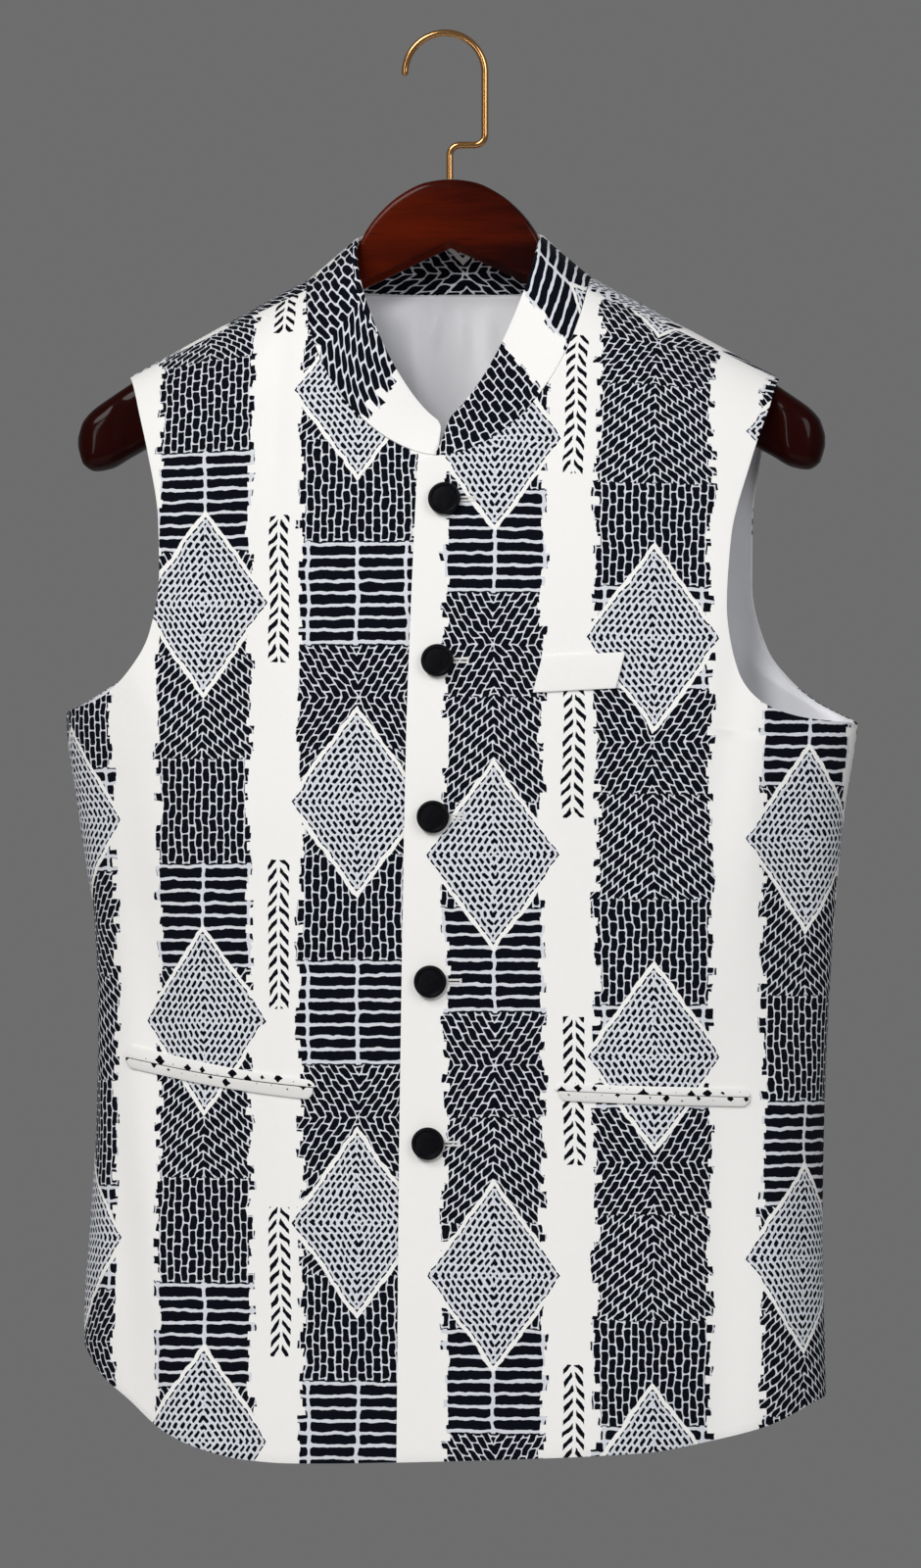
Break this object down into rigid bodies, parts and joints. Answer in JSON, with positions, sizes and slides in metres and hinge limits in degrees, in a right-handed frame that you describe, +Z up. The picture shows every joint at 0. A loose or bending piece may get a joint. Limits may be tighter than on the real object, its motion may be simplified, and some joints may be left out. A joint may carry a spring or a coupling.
{
  "type": "nehru jacket on a hanger",
  "caption": "Sleeveless nehru jacket with a band collar, buttoned front, welt and jetted pockets, on a wooden hanger with a wire hook.",
  "frame": {"origin": "under the crown of the hanger's hook, where a rail carries it", "axes": "+Z up, the front of the jacket faces -Y, +X towards the wearer's left"},
  "size_m": [0.471, 0.135, 0.8461],
  "materials": {
    "printed_cloth": "matte woven cloth, ivory, printed in near-black navy",
    "lining": "smooth white lining with a soft sheen",
    "buttons": "black, satin gloss",
    "hanger_wood": "dark red-brown wood, glossy lacquer",
    "hook_wire": "polished brass-coloured wire"
  },
  "bodies": {
    "root": {"front_left": "printed_cloth", "front_right": "printed_cloth", "back": "printed_cloth", "collar": "printed_cloth", "chest_welt": "printed_cloth", "pocket_left_upper": "printed_cloth", "pocket_left_lower": "printed_cloth", "pocket_right_upper": "printed_cloth", "pocket_right_lower": "printed_cloth", "lining_back": "lining", "button_1": "buttons", "button_2": "buttons", "button_3": "buttons", "button_4": "buttons", "button_5": "buttons", "hanger": "hanger_wood", "hanger_hook": "hook_wire"}
  },
  "joints": []
}
